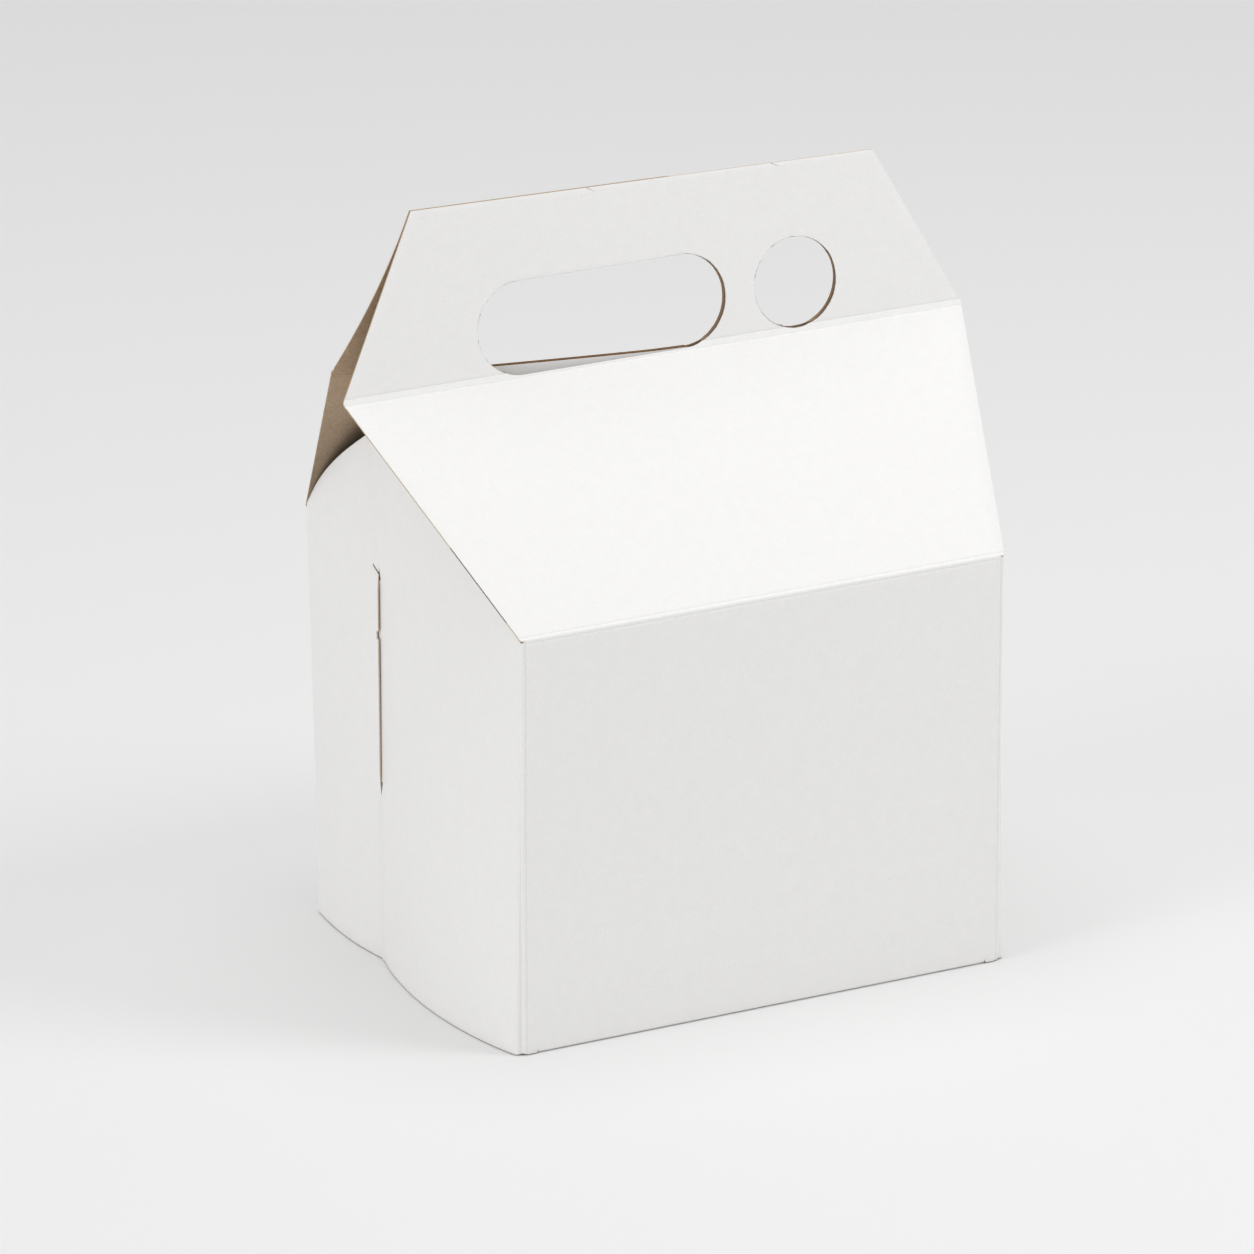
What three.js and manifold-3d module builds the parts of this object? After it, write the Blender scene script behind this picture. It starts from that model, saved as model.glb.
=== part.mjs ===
// A gable carry carton for a takeaway meal, folded from one blank of white
// lined paperboard, with two roof flaps that end in punched handle panels.
// Millimetres, +Z up, front wall towards -Y, origin at the middle of the base.

import * as THREE from 'three';
import { mergeVertices } from 'three/addons/utils/BufferGeometryUtils.js';
import Module from 'manifold-3d';

const wasm = await Module();
wasm.setup();

// Board and walls
const board = 0.5;              // thickness of the paperboard
const wallWidth = 160;          // front and rear walls, from corner fold to corner fold
const bottomDepth = 138;        // bottom panel, front fold to rear fold
const topDepth = 144;           // between the two roof folds, as the walls lean out
const wallHeight = 129;
const foldRadius = 1.0;         // outside radius of a scored fold
const hingeGap = 0.3;           // score between a wall and its roof flap

// Roof and handle panels
const ridgeWidth = 206;         // front crease between roof and handle, wider than the walls
const rearRidgeWidth = 200;
const handleTopWidth = 153.2;
const topShift = -1.1;          // middle of the handle's top edge from the middle of the carton
const topTilt = 1.6;            // the top edge stands this much higher at its left end, lower at its right
const roofRun = 67.4;           // front roof, level distance from fold to crease
const roofRise = 56.5;          // front roof, height from fold to crease
const handleRise = 52;          // front handle, height from crease to top edge
const handleLean = 4.6;         // how far the front handle leans back at its top edge
const rearTopRise = 0.5;        // rear handle's top edge above the front one's
const rearStepDrop = 1.0;       // the step down in the rear handle's top edge
const rearStepAt = 9;           // where that step is, right of the middle
const handleClear = 0.4;        // between the two handles where they meet

// How the rear flap gapes away from the front one
const pinchGap = 1.0;           // clear distance between the creases where they are closed
const gapeDepth = 12;           // extra distance between the creases at the open left end
const gapeRise = 5.6;           // how much higher the rear crease stands at the open end
const gapePower = 1.15;
const gapeRisePower = 1.5;
const rearBow = 11;             // degrees by which the rear handle bows at the open end

// Cut-outs in both handles
const slotMiddle = -17.3;
const slotLength = 82;
const slotHeight = 28;
const holeMiddle = 47.2;
const holeDiameter = 27.4;
const holeLift = 0.5;           // from the crease to the lowest point of the hole
const rearSlotLift = 0.1;       // the rear slot's lower edge above the front one's, at the middle
const rearSlotTilt = 1.7;       // degrees by which the rear slot rises towards the open end
const tongueTilt = 20;          // degrees by which the rear slot's folded-in tongue hangs off plumb
const tongueRadius = 0.15;      // inside radius of the tongue's fold

// End flaps
const frontFlapShare = 0.632;   // share of the end wall that the front flap covers, up to the seam
const seamSlant = 2.2;          // how far the seam runs back from the lock to the base
const upperSeamSlant = 2.6;     // how far it runs back from the lock to the top
const tabReach = 14;            // hidden tab of each flap beyond the seam
const lockHeight = 124;         // the rear flap is the outer layer from the slit's foot up to here
const slitFoot = 54;
const lockBand = 12;            // height over which the flaps change places
const lockOpen = 3;             // both flaps end at the seam this far above and below a change
const layerShift = 0.45;        // each flap's distance from the middle surface at the seam
const seamGap = 0.4;
const flapRise = 0.62;          // slope of the rear flap's top edge
const shoulderHeight = 8.2;
const closedShoulderHeight = 3.9; // at the right end, under the closed roof
const shoulderReach = 15.5;
const shoulderDrop = 1.1;       // how far the shoulder starts below the roof fold
const frontFlapRise = 0.5;
const frontShoulderHeight = 5;
const flapPeak = 40;            // top of the left end flaps above the walls
const closedFlapPeak = 35;      // the same at the right end
const seamBow = 1.2;            // how far the end wall stands out at the seam
const frontBow = 7.0;           // outward bulge of the front flap at its loose lower edge
const frontBowTop = 0.8;
const rearBowOut = 2.2;
const edgeLift = 0.1;           // free lower edges above the base
const cornerNotch = 1.2;        // rounding of the blank where wall, flap and bottom meet

// Lock cuts in the rear flap
const hookReach = 6;
const hookRise = 3.4;
const slitWidth = 0.5;
const nickHeight = 2.4;
const nickDepth = 0.8;
const nickMiddle = 103.7;

// Bottom panel and its tucked side flaps
const reliefWidth = 5;          // bottom folds stop this far short of the corners
const reliefDepth = 6;
const tuckInset = 2.4;          // bottom panel narrower than the walls, each side
const tuckHeight = 30;
const tuckTaper = 8;

// Facets
const arcSteps = 5;
const endStep = 5.5;            // spacing of the points across an end flap
const riseStep = 9;             // spacing of the points up an end flap
const holeSteps = 40;

const boardFinish = (color) => new THREE.MeshStandardMaterial({ color, roughness: 0.55, metalness: 0 });

// Solids

function toManifold(geometry) {
  const bare = geometry.clone();
  bare.deleteAttribute('normal');
  bare.deleteAttribute('uv');
  const merged = mergeVertices(bare, 1e-5);
  return new wasm.Manifold(new wasm.Mesh({
    numProp: 3,
    vertProperties: new Float32Array(merged.attributes.position.array),
    triVerts: new Uint32Array(merged.index.array),
  }));
}

function toGeometry(solid) {
  const mesh = solid.getMesh();
  const geometry = new THREE.BufferGeometry();
  geometry.setAttribute('position', new THREE.BufferAttribute(mesh.vertProperties, 3));
  geometry.setIndex(new THREE.BufferAttribute(mesh.triVerts, 1));
  geometry.computeVertexNormals();
  return geometry;
}

// A sheet of board: a grid of points on its outer face and one on its inner face,
// closed along the four edges.
function sheet(rows, columns, outerPoint, innerPoint) {
  const stride = columns + 1;
  const count = (rows + 1) * stride;
  const positions = [];
  for (const face of [outerPoint, innerPoint]) {
    for (let i = 0; i <= rows; i++) {
      for (let j = 0; j <= columns; j++) {
        positions.push(...face(i, j).toArray());
      }
    }
  }
  const index = [];
  const quad = (a, b, c, d) => index.push(a, b, c, a, c, d);
  const at = (face, i, j) => face * count + i * stride + j;
  for (let i = 0; i < rows; i++) {
    for (let j = 0; j < columns; j++) {
      quad(at(0, i, j), at(0, i + 1, j), at(0, i + 1, j + 1), at(0, i, j + 1));
      quad(at(1, i, j), at(1, i, j + 1), at(1, i + 1, j + 1), at(1, i + 1, j));
    }
  }
  for (let j = 0; j < columns; j++) {
    quad(at(0, 0, j), at(0, 0, j + 1), at(1, 0, j + 1), at(1, 0, j));
    quad(at(0, rows, j + 1), at(0, rows, j), at(1, rows, j), at(1, rows, j + 1));
  }
  for (let i = 0; i < rows; i++) {
    quad(at(0, i + 1, 0), at(0, i, 0), at(1, i, 0), at(1, i + 1, 0));
    quad(at(0, i, columns), at(0, i + 1, columns), at(1, i + 1, columns), at(1, i, columns));
  }
  const geometry = new THREE.BufferGeometry();
  geometry.setAttribute('position', new THREE.Float32BufferAttribute(positions, 3));
  geometry.setIndex(index);
  if (signedVolume(geometry) < 0) {
    flip(geometry);
  }
  return toManifold(geometry);
}

function signedVolume(geometry) {
  const p = geometry.attributes.position;
  const index = geometry.index;
  const corner = [new THREE.Vector3(), new THREE.Vector3(), new THREE.Vector3()];
  let volume = 0;
  for (let k = 0; k < index.count; k += 3) {
    corner.forEach((v, m) => v.fromBufferAttribute(p, index.getX(k + m)));
    volume += corner[0].dot(corner[1].clone().cross(corner[2])) / 6;
  }
  return volume;
}

function flip(geometry) {
  const index = geometry.index;
  for (let k = 0; k < index.count; k += 3) {
    const second = index.getX(k + 1);
    index.setX(k + 1, index.getX(k + 2));
    index.setX(k + 2, second);
  }
}

// A straight prism of a shape drawn in Y and Z, from x0 to x1
function prismAlongX(shape, x0, x1) {
  const geometry = new THREE.ExtrudeGeometry(shape, { depth: x1 - x0, bevelEnabled: false });
  geometry.applyMatrix4(new THREE.Matrix4().makeBasis(
    new THREE.Vector3(0, 1, 0), new THREE.Vector3(0, 0, 1), new THREE.Vector3(1, 0, 0)));
  geometry.translate(x0, 0, 0);
  return toManifold(geometry);
}

// A straight prism of a shape drawn in X and Z, reaching far to the front and rear
function prismAlongY(shape) {
  const reach = topDepth;
  const geometry = new THREE.ExtrudeGeometry(shape, {
    depth: 2 * reach, bevelEnabled: false, curveSegments: holeSteps / 4 });
  geometry.rotateX(Math.PI / 2);
  geometry.translate(0, reach, 0);
  return toManifold(geometry);
}

const polygon = (points) => new THREE.Shape(points.map(([a, b]) => new THREE.Vector2(a, b)));
const smooth = (low, high, value) => THREE.MathUtils.smoothstep(value, low, high);
const radians = THREE.MathUtils.degToRad;
const lerp = THREE.MathUtils.lerp;

// Walls and bottom: one strip bent at the two bottom folds

const wallLean = (topDepth - bottomDepth) / 2;
const wallFace = (z) => bottomDepth / 2 + wallLean * z / wallHeight;
const leanAngle = Math.atan2(wallLean, wallHeight);

// Stations along the strip, each a point on the outer face, the way inwards
// and the half width of the strip there
function stripStations() {
  const stations = [];
  const halfWall = wallWidth / 2 - foldRadius;
  const halfFold = wallWidth / 2 - reliefWidth;
  const halfBottom = wallWidth / 2 - tuckInset;
  const turn = Math.PI / 2 - leanAngle;
  const setBack = foldRadius * Math.tan(turn / 2);
  const wallEnd = [wallFace(0) + setBack * Math.sin(leanAngle), setBack * Math.cos(leanAngle)];
  const half = [];
  const inward = [-Math.cos(leanAngle), Math.sin(leanAngle)];
  half.push({ y: wallFace(wallHeight), z: wallHeight, n: inward, w: halfWall });
  half.push({ y: wallFace(foldRadius * 2), z: foldRadius * 2, n: inward, w: halfWall });
  half.push({ y: wallEnd[0], z: wallEnd[1] + 0.02, n: inward, w: halfWall });
  const centre = [wallFace(0) - setBack, foldRadius];
  for (let k = 0; k <= arcSteps; k++) {
    const angle = leanAngle * -1 - turn * k / arcSteps;
    const out = [Math.cos(angle), Math.sin(angle)];
    half.push({
      y: centre[0] + foldRadius * out[0], z: centre[1] + foldRadius * out[1],
      n: [-out[0], -out[1]], w: halfFold });
  }
  half.push({ y: wallFace(0) - reliefDepth, z: 0, n: [0, 1], w: halfFold });
  half.push({ y: wallFace(0) - reliefDepth - 2, z: 0, n: [0, 1], w: halfBottom });
  for (const s of half) {
    stations.push({ y: -s.y, z: s.z, n: [-s.n[0], s.n[1]], w: s.w });
  }
  stations.push(...half.reverse());
  return stations;
}

function wallStrip() {
  const stations = stripStations();
  const columns = 8;
  const point = (depth) => (i, j) => {
    const s = stations[i];
    const x = s.w * (2 * j / columns - 1);
    return new THREE.Vector3(x, s.y + s.n[0] * depth, s.z + s.n[1] * depth);
  };
  return sheet(stations.length - 1, columns, point(0), point(board));
}

// The bottom panel's side flap, tucked up inside the end wall
function tuckFlap(side) {
  const edge = wallWidth / 2 - tuckInset;
  const stations = [{ x: edge - 4, z: 0, n: [0, 1], w: bottomDepth / 2 - reliefDepth - 2.5 }];
  for (let k = 0; k <= arcSteps; k++) {
    const angle = -Math.PI / 2 + Math.PI / 2 * k / arcSteps;
    const out = [Math.cos(angle), Math.sin(angle)];
    stations.push({
      x: edge - foldRadius + foldRadius * out[0], z: foldRadius + foldRadius * out[1],
      n: [-out[0], -out[1]], w: bottomDepth / 2 - reliefDepth - 2.5 });
  }
  stations.push({ x: edge, z: tuckHeight, n: [-1, 0], w: bottomDepth / 2 - reliefDepth - tuckTaper });
  const columns = 4;
  const point = (depth) => (i, j) => {
    const s = stations[i];
    const y = s.w * (2 * j / columns - 1);
    return new THREE.Vector3(side * (s.x + s.n[0] * depth), y, s.z + s.n[1] * depth);
  };
  return sheet(stations.length - 1, columns, point(0), point(board));
}

// End flaps

const frontFlapReach = topDepth * frontFlapShare;
const rearFlapReach = topDepth - frontFlapReach;
const seamY = frontFlapReach - topDepth / 2;
const seamLine = (z) => (z < lockHeight
  ? seamY + seamSlant * (1 - z / lockHeight)
  : seamY + upperSeamSlant * (z - lockHeight) / flapPeak);

// How far the middle of the end wall stands out from the corner folds
function endBow(y, z) {
  const loose = Math.pow(Math.max(0, 1 - z / lockHeight), 1.3);
  const front = lerp(frontBowTop, frontBow, loose);
  if (y < seamY) {
    const t = (y + topDepth / 2) / frontFlapReach;
    const round = Math.pow(Math.max(0, 4 * t * (1 - t)), 0.85);
    return Math.max(0, seamBow * t + front * round);
  }
  const t = (topDepth / 2 - y) / rearFlapReach;
  return seamBow * t + rearBowOut * 4 * t * (1 - t);
}

// Which layer the rear flap is in at a height: +1 outside along the slit, -1 inside elsewhere
const change = (at, z) => smooth(at - lockBand / 2, at + lockBand / 2, z);
const layer = (z) => 2 * (change(slitFoot, z) - change(lockHeight, z)) - 1;

function flapTop(distance, rise, height, peak) {
  const shoulder = height * (1 - Math.exp(-distance / shoulderReach));
  return Math.min(rise * distance + shoulder - shoulderDrop, peak);
}

// One end flap from its corner fold: front is -1 for the front wall's flap
function endFlap(front, rearHeight, peak) {
  const rise = front < 0 ? frontFlapRise : flapRise;
  const height = front < 0 ? frontShoulderHeight : rearHeight;
  const reach = (front < 0 ? frontFlapReach : rearFlapReach) + tabReach;
  const stations = [{ along: -reliefWidth, in: 0, nx: 0, ny: 1 }];
  stations.push({ along: -cornerNotch - foldRadius, in: 0, nx: 0, ny: 1 });
  for (let k = 0; k <= arcSteps; k++) {
    const angle = Math.PI / 2 * k / arcSteps;
    stations.push({
      along: -foldRadius * (1 - Math.sin(angle)), in: foldRadius * (1 - Math.cos(angle)),
      nx: Math.sin(angle), ny: Math.cos(angle) });
  }
  const steps = Math.round((reach - foldRadius) / endStep);
  for (let k = 1; k <= steps; k++) {
    stations.push({ along: 0, in: lerp(foldRadius, reach, k / steps), nx: 1, ny: 0 });
  }
  const columns = Math.round((wallHeight + flapPeak) / riseStep);
  const middle = (i, j) => {
    const s = stations[i];
    const shoulder = s.in <= foldRadius ? -shoulderDrop : flapTop(s.in, rise, height, peak);
    const top = wallHeight + shoulder;
    const away = Math.max(0, Math.hypot(s.along, s.in) / cornerNotch);
    const notch = cornerNotch * (1 - Math.sqrt(1 - Math.pow(Math.max(0, 1 - away), 2)));
    const z = lerp(edgeLift + notch, top, j / columns);
    const fold = wallFace(Math.min(z, wallHeight));
    const y = front * (fold - s.in);
    const bow = s.in > foldRadius ? endBow(y, z) : 0;
    const near = smooth(reach - tabReach * 2.6, reach - tabReach * 1.1, s.in);
    const shift = layerShift * layer(z) * (front < 0 ? -1 : 1) * near;
    return { x: -wallWidth / 2 - s.along - bow - shift, y, z, s };
  };
  const point = (depth) => (i, j) => {
    const m = middle(i, j);
    return new THREE.Vector3(m.x + m.s.nx * depth, m.y - front * m.s.ny * depth, m.z);
  };
  return sheet(stations.length - 1, columns, point(0), point(board));
}

// What is cut off each flap beyond the seam, where it is the outer layer
function seamTrim(front) {
  const far = front * -topDepth;
  const edge = (z) => seamLine(z) + front * seamGap / 2;
  const trim = (heights) => {
    const side = heights.map((z) => [edge(z), z]);
    const last = heights[heights.length - 1];
    return prismAlongX(polygon([[far, heights[0]], ...side, [far, last]]), -wallWidth, 0);
  };
  if (front < 0) {
    return trim([-1, slitFoot + lockOpen]).add(trim([lockHeight - lockOpen, lockHeight, 2 * wallHeight]));
  }
  return trim([slitFoot - lockOpen, lockHeight, lockHeight + lockOpen]);
}

// The hooked slit and the small nick in the rear flap's edge
function lockCuts() {
  const y = seamLine(lockHeight);
  const hook = polygon([
    [y - 1, lockHeight - hookRise / 2 - 0.2],
    [y + hookReach, lockHeight + hookRise / 2],
    [y + hookReach, lockHeight + hookRise / 2 + slitWidth],
    [y - 1, lockHeight - hookRise / 2 + slitWidth]]);
  const edge = seamLine(nickMiddle) + seamGap / 2;
  const nick = polygon([
    [edge - 1, nickMiddle - nickHeight / 2], [edge + nickDepth, nickMiddle - nickHeight / 2],
    [edge + nickDepth, nickMiddle + nickHeight / 2], [edge - 1, nickMiddle + nickHeight / 2]]);
  return prismAlongX(hook, -wallWidth, 0).add(prismAlongX(nick, -wallWidth, 0));
}

function endWall(rearHeight, peak) {
  const frontFlap = endFlap(-1, rearHeight, peak).subtract(seamTrim(-1));
  const rearFlap = endFlap(1, rearHeight, peak).subtract(seamTrim(1)).subtract(lockCuts());
  return frontFlap.add(rearFlap);
}

function cartonBody() {
  const leftEnd = endWall(shoulderHeight, flapPeak);
  const rightEnd = endWall(closedShoulderHeight, closedFlapPeak).mirror([1, 0, 0]);
  return wallStrip().add(leftEnd).add(rightEnd).add(tuckFlap(-1)).add(tuckFlap(1));
}

// Roof flaps with their handles

const foldZ = wallHeight + hingeGap;
const frontCrease = { y: -topDepth / 2 + roofRun, z: foldZ + roofRise };
const frontTop = { y: frontCrease.y + handleLean, z: frontCrease.z + handleRise };
const leanBack = Math.atan2(handleLean, handleRise);

function frontProfile(across) {
  const top = { y: frontTop.y, z: frontTop.z - topTilt * across };
  return { crease: frontCrease, top, start: -leanBack, end: -leanBack };
}

// The rear flap stands off the front one towards the left end
function rearProfile(across) {
  const open = Math.max(0, -across);
  const crease = {
    y: frontCrease.y + 2 * board + pinchGap + gapeDepth * Math.pow(open, gapePower),
    z: frontCrease.z + gapeRise * Math.pow(open, gapeRisePower) };
  const stepDown = rearStepDrop * smooth(rearStepAt, rearStepAt + 1.5, across * handleTopWidth / 2);
  const top = {
    y: frontTop.y + 2 * board + handleClear,
    z: frontTop.z - topTilt * across + rearTopRise - stepDown };
  const chord = Math.atan2(crease.y - top.y, top.z - crease.z);
  return { crease, top, start: chord + radians(rearBow) * open, end: -leanBack };
}

// A point on a handle panel between its crease and its top edge
function handlePoint(profile, t) {
  const { crease, top, start, end } = profile;
  const length = Math.hypot(top.y - crease.y, top.z - crease.z);
  const h = [
    2 * t ** 3 - 3 * t ** 2 + 1,
    t ** 3 - 2 * t ** 2 + t,
    3 * t ** 2 - 2 * t ** 3,
    t ** 3 - t ** 2];
  return {
    y: h[0] * crease.y - h[1] * length * Math.sin(start) + h[2] * top.y - h[3] * length * Math.sin(end),
    z: h[0] * crease.z + h[1] * length * Math.cos(start) + h[2] * top.z + h[3] * length * Math.cos(end) };
}

// A roof flap: side is -1 at the front. The profile is given across the width.
function roofFlap(side, ridge, profileAt, roofSteps, handleSteps, columns) {
  const rows = roofSteps + handleSteps;
  const outer = (i, j) => {
    const across = 2 * j / columns - 1;
    const profile = profileAt(across);
    if (i <= roofSteps) {
      const t = i / roofSteps;
      const half = lerp(wallWidth, ridge, t) / 2;
      return new THREE.Vector3(across * half,
        lerp(side * topDepth / 2, profile.crease.y, t), lerp(foldZ, profile.crease.z, t));
    }
    const t = (i - roofSteps) / handleSteps;
    const p = handlePoint(profile, t);
    return new THREE.Vector3(across * lerp(ridge, handleTopWidth, t) / 2 + topShift * t, p.y, p.z);
  };
  const inner = (i, j) => {
    const here = outer(i, j);
    const before = outer(Math.max(i - 1, 0), j);
    const after = outer(Math.min(i + 1, rows), j);
    const wayIn = (a, b) => {
      const run = Math.hypot(b.y - a.y, b.z - a.z);
      return [-side * (b.z - a.z) / run, side * (b.y - a.y) / run];
    };
    const first = i > 0 ? wayIn(before, here) : wayIn(here, after);
    const second = i < rows ? wayIn(here, after) : first;
    if (i === 0) {
      return new THREE.Vector3(here.x, here.y + board / first[0], here.z);
    }
    const sum = [first[0] + second[0], first[1] + second[1]];
    const depth = board * 2 / (sum[0] ** 2 + sum[1] ** 2);
    return new THREE.Vector3(here.x, here.y + sum[0] * depth, here.z + sum[1] * depth);
  };
  return sheet(rows, columns, outer, inner);
}

function slotShape() {
  const radius = slotHeight / 2;
  const half = slotLength / 2 - radius;
  const z = frontCrease.z + radius;
  const shape = new THREE.Shape();
  shape.moveTo(slotMiddle - half, z - radius);
  shape.lineTo(slotMiddle + half, z - radius);
  shape.absarc(slotMiddle + half, z, radius, -Math.PI / 2, Math.PI / 2);
  shape.lineTo(slotMiddle - half, z + radius);
  shape.absarc(slotMiddle - half, z, radius, Math.PI / 2, Math.PI * 1.5);
  return shape;
}

function holeShape() {
  const radius = holeDiameter / 2;
  const shape = new THREE.Shape();
  shape.absarc(holeMiddle, frontCrease.z + holeLift + radius, radius, 0, Math.PI * 2);
  return shape;
}

// The tongue punched out of the rear slot, folded in over its lower edge
function slotTongue() {
  const radius = slotHeight / 2;
  const straight = slotLength / 2 - radius;
  const seat = 0.4;
  const stations = [{ y: 0, z: -seat, a: 0, w: straight }, { y: 0, z: 0, a: 0, w: straight }];
  const turn = Math.PI + radians(tongueTilt);
  const folds = 8;
  const outerRadius = tongueRadius + board;
  for (let k = 1; k <= folds; k++) {
    const a = turn * k / folds;
    stations.push({ y: outerRadius * (1 - Math.cos(a)), z: outerRadius * Math.sin(a), a, w: straight });
  }
  const last = stations[stations.length - 1];
  const hang = 10;
  for (let k = 1; k <= hang; k++) {
    const v = radius * (1 - Math.cos(Math.PI * k / hang));
    const w = straight + Math.sqrt(Math.max(0, radius ** 2 - (radius - v) ** 2));
    stations.push({
      y: last.y + v * Math.sin(turn), z: last.z + v * Math.cos(turn), a: turn, w });
  }
  const columns = 10;
  const point = (depth) => (i, j) => {
    const s = stations[i];
    const x = slotMiddle + s.w * (2 * j / columns - 1);
    const root = rearProfile(2 * x / rearRidgeWidth).crease.y;
    const y = s.y + depth * Math.cos(s.a);
    const z = s.z - depth * Math.sin(s.a);
    return new THREE.Vector3(x, root - y, frontCrease.z + z);
  };
  return sheet(stations.length - 1, columns, point(0), point(board));
}

// Turns something made at the front slot's place into the rear slot's
function toRearSlot(solid) {
  return solid
    .translate([0, 0, -frontCrease.z])
    .rotate([0, rearSlotTilt, 0])
    .translate([0, 0, frontCrease.z + rearSlotLift]);
}

function frontFlap() {
  return roofFlap(-1, ridgeWidth, frontProfile, 2, 2, 4)
    .subtract(prismAlongY(slotShape()))
    .subtract(prismAlongY(holeShape()));
}

function rearFlap() {
  return roofFlap(1, rearRidgeWidth, rearProfile, 5, 9, 30)
    .subtract(toRearSlot(prismAlongY(slotShape())))
    .subtract(prismAlongY(holeShape()))
    .add(toRearSlot(slotTongue()));
}

// The carton

const carton = new THREE.Group();

function place(name, solid, color) {
  const mesh = new THREE.Mesh(toGeometry(solid), boardFinish(color));
  mesh.name = name;
  carton.add(mesh);
}

place('carton_body', cartonBody(), 0xe6e5e3);
place('front_flap', frontFlap(), 0xf0efed);
place('rear_flap', rearFlap(), 0xeceae7);

export default carton;
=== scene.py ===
# %% [markdown]
# # A gable carry carton
# One blank of white lined board makes the whole carton: it is cut, scored and
# folded, and its ends lock together. This lesson builds it the same way.
# Flat sheets are folded along their score lines, punched where the die cuts,
# given the board's thickness and finished with paper materials. Three parts
# can move: the carton itself and its two roof flaps, each with half a handle.

# %%
# Frame and tools
import math
import bmesh
import bpy
from mathutils import Matrix, Vector


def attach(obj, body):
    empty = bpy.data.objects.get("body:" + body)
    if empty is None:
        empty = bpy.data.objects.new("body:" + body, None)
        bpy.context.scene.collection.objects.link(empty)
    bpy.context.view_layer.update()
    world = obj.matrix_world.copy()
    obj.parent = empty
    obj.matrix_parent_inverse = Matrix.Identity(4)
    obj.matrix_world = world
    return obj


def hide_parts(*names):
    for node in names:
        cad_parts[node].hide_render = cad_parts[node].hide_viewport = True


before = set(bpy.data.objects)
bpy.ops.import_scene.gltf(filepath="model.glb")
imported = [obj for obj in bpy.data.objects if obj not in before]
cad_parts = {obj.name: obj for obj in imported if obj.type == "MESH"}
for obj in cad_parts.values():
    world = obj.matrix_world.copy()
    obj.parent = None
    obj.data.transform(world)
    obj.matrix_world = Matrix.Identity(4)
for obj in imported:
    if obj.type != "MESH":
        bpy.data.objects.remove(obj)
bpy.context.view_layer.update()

# %% [markdown]
# ## Sizes
# Everything is drawn in millimetres, the size in which a carton maker draws a
# blank, and turned into metres as the vertices are placed. The walls lean out
# a little, so the carton is deeper at its top folds than at its foot. Heights
# are measured from the table.

# %%
# Board, walls and folds
MM = 0.001
BOARD = 0.5
WALL_WIDTH, WALL_HEIGHT, FOLD_Z = 160, 129, 129.15
BOTTOM_DEPTH, TOP_DEPTH = 138, 144
FOLD_RADIUS = 1.0
RELIEF = 5
LEAN = (TOP_DEPTH - BOTTOM_DEPTH) / 2 / WALL_HEIGHT
print("walls lean out by", round(math.degrees(math.atan(LEAN)), 2), "degrees")

# %%
# Roof and handle
RIDGE_WIDTH, REAR_RIDGE_WIDTH, HANDLE_TOP_WIDTH = 205.98, 200, 153.2
TOP_SHIFT, TOP_TILT = -1.1, 1.6
FRONT_CREASE = Vector((0, -4.6, 185.8))
FRONT_TOP = Vector((0, 0, 237.8))
HANDLE_LEAN = math.atan2(4.6, 52)
SLOT = {"x": -17.3, "length": 82, "height": 28}
HOLE = {"x": 47.2, "diameter": 27.4, "lift": 0.5}
REAR_LIFT, REAR_TILT = 0.1, math.radians(1.7)
print("roof rises to", FRONT_CREASE.z, "and the handle to", FRONT_TOP.z)

# %%
# End flaps and their lock
FRONT_REACH = TOP_DEPTH * 0.632
REAR_REACH = TOP_DEPTH - FRONT_REACH
SEAM_Y = FRONT_REACH - TOP_DEPTH / 2
LOCK_Z, SLIT_FOOT, LOCK_BAND, LOCK_OPEN = 124, 54, 12, 3
TAB = 14
SEAM_GAP = 0.4
TOP_CLEAR = 0.45
print("the end flaps meet", round(SEAM_Y, 1), "mm behind the middle")


# %% [markdown]
# ## Three small tools
# `mix` goes from one value to another, `ease` does so with a soft start and
# end, and `steps` gives evenly spaced stops. They stand in for the tape and
# the curve templates of a drawing table.

# %%
def mix(a, b, t):
    return a + (b - a) * t


def ease(low, high, value):
    t = min(max((value - low) / (high - low), 0), 1)
    return t * t * (3 - 2 * t)


def steps(start, end, count):
    return [mix(start, end, k / count) for k in range(count + 1)]


print("half way:", mix(0, 10, 0.5), ease(0, 10, 5), "stops:", steps(0, 1, 4))


# %% [markdown]
# ## Score lines
# A fold in board is pressed in first, with a rounded steel rule. The rule
# leaves a fine double line, one groove on each side of the fold. A bump map
# could draw it, but then the outline of a corner would stay smooth, so the
# grooves are real geometry: every fold below asks `score` how deep its points
# have to sink. The corner folds are pressed deepest.

# %%
SCORE_APART, SCORE_DEPTH, SCORE_WIDTH = 1.05, 0.21, 0.3
CORNER_SCORE_DEPTH = 0.36


def score(distance, depth=SCORE_DEPTH):
    """How deep the rule has pressed the board at this distance from the middle of a fold."""
    return depth * sum(math.exp(-((distance - s) / SCORE_WIDTH) ** 2) for s in (-SCORE_APART, SCORE_APART))


print("groove:", round(score(SCORE_APART), 2), "mm deep, and", round(score(0), 4), "mm on the fold itself")


# %% [markdown]
# ## A flat sheet, folded
# Each part of the blank starts as a flat grid from `create_grid`. A fold
# function then says where each point of the flat sheet goes, so rows of the
# grid can crowd together where a score line turns and spread out where the
# board is flat. Bending a flat grid with a modifier would be quicker for one
# fold, but moving the vertices of one grid keeps the board in one piece round
# every fold.

# %%
def folded_grid(across, along, place):
    """A grid with a column at each value of across and a row at each of along."""
    sheet = bmesh.new()
    columns, rows = len(across) - 1, len(along) - 1
    bmesh.ops.create_grid(sheet, x_segments=columns, y_segments=rows, size=0.5)
    for v in sheet.verts:
        i = round((v.co.x + 0.5) * columns)
        j = round((v.co.y + 0.5) * rows)
        v.co = Vector(place(across[i], along[j])) * MM
    return sheet


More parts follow.
